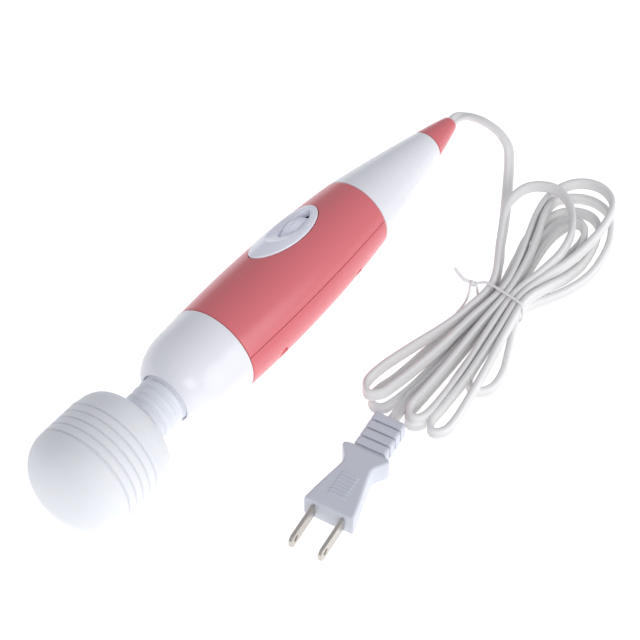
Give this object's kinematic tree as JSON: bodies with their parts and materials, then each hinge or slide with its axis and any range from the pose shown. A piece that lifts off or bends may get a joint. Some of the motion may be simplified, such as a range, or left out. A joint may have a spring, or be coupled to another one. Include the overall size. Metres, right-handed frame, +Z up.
{
  "type": "handheld wand massager",
  "caption": "Corded wand massager with a ringed soft head on a ribbed flexible neck, barrel handle with a speed dial, tapered tail and a tied flat cord with its plug.",
  "frame": {"origin": "on the surface that the wand lies on, below the middle of the wand", "axes": "+X along the wand from its head to its tail, +Z up; the cord's hank and the plug lie on the -Y side"},
  "size_m": [0.2773, 0.1159, 0.0458],
  "materials": {
    "soft_white": "soft matte white silicone",
    "gloss_white": "polished white moulding",
    "salmon": "satin salmon-pink moulding",
    "inner_plastic": "as moulded",
    "plated_steel": "zinc plated",
    "weight_iron": "sintered",
    "magnet": "ferrite",
    "copper": "copper windings and bronze",
    "carbon": "carbon",
    "mount_rubber": "black rubber",
    "board": "solder mask",
    "capacitor_amber": "dipped film capacitor",
    "rectifier_black": "moulded epoxy",
    "capacitor_blue": "sleeved can",
    "fuse_ceramic": "ceramic",
    "cord_white": "flexible vinyl, slightly glossy",
    "lead_sleeve": "insulated hook-up wire",
    "tie_white": "paper-plastic covered wire",
    "blade_nickel": "nickel plated brass"
  },
  "bodies": {
    "handle": {"board_fuse": "fuse_ceramic", "bridge_rectifier": "rectifier_black", "case_screw_1": "plated_steel", "case_screw_2": "plated_steel", "case_screw_3": "plated_steel", "case_screw_4": "plated_steel", "circuit_board": "board", "clamp_screw_1": "plated_steel", "clamp_screw_2": "plated_steel", "cord_clamp": "inner_plastic", "cord_hank": "cord_white", "cord_inside": "cord_white", "cord_lead": "cord_white", "cord_tail": "cord_white", "film_capacitor": "capacitor_amber", "front_shroud": "gloss_white", "lower_casing": "salmon", "mains_lead_1": "lead_sleeve", "mains_lead_2": "lead_sleeve", "motor_brush_left": "carbon", "motor_brush_right": "carbon", "motor_can": "plated_steel", "motor_end_cap": "inner_plastic", "motor_front_bush": "copper", "motor_lead_1": "lead_sleeve", "motor_lead_2": "lead_sleeve", "motor_magnet_left": "magnet", "motor_magnet_right": "magnet", "motor_mount_front": "mount_rubber", "motor_mount_rear": "mount_rubber", "neck_clamp_rear": "plated_steel", "plug_blade_left": "blade_nickel", "plug_blade_right": "blade_nickel", "plug_body": "cord_white", "smoothing_capacitor": "capacitor_blue", "speed_potentiometer": "plated_steel", "switch_bezel": "gloss_white", "tail_cone": "gloss_white", "tail_tip": "salmon", "twist_tie": "tie_white", "upper_casing": "salmon"},
    "head": {"head_cover": "soft_white", "head_cup": "inner_plastic", "head_rear_plate": "inner_plastic", "head_bearing_front": "plated_steel", "head_bearing_rear": "plated_steel", "neck_clamp_front": "plated_steel"},
    "eccentric": {"eccentric_shaft": "plated_steel", "eccentric_weight": "weight_iron", "drive_coupling_front": "plated_steel"},
    "neck": {"neck_bellows": "soft_white", "drive_spring": "plated_steel"},
    "motor_rotor": {"motor_shaft": "plated_steel", "motor_armature": "copper", "motor_commutator": "copper", "drive_coupling_rear": "plated_steel"},
    "dial": {"speed_dial": "gloss_white", "dial_axle": "plated_steel"}
  },
  "joints": [
    {"name": "neck_pitch", "type": "hinge", "parent": "handle", "child": "neck", "pos_m": [-0.06899, 0, 0.02195], "axis": [-0.0099, 0.9135, -0.4066], "range_deg": [-8, 8], "stiffness_Nm_per_rad": 2, "deforming": ["neck_bellows", "drive_spring"]},
    {"name": "neck_yaw", "type": "hinge", "parent": "neck", "child": "head", "pos_m": [-0.07699, 0, 0.02215], "axis": [0.0223, 0.4067, 0.9133], "range_deg": [-8, 8], "stiffness_Nm_per_rad": 2},
    {"name": "motor_spin", "type": "hinge", "parent": "handle", "child": "motor_rotor", "pos_m": [-0.034, 0, 0.0211], "axis": [0.9997, 0, -0.0244], "continuous": true},
    {"name": "eccentric_spin", "type": "hinge", "parent": "head", "child": "eccentric", "pos_m": [-0.10398, 0, 0.02281], "axis": [0.9997, 0, -0.0244], "continuous": true},
    {"name": "dial_turn", "type": "hinge", "parent": "handle", "child": "dial", "pos_m": [0.02616, 0.00317, 0.02675], "axis": [-0.0099, 0.9135, -0.4066], "range_deg": [0, 270]}
  ],
  "couplings": [
    {"joint": "motor_spin", "follows": "eccentric_spin", "ratio": 1}
  ]
}
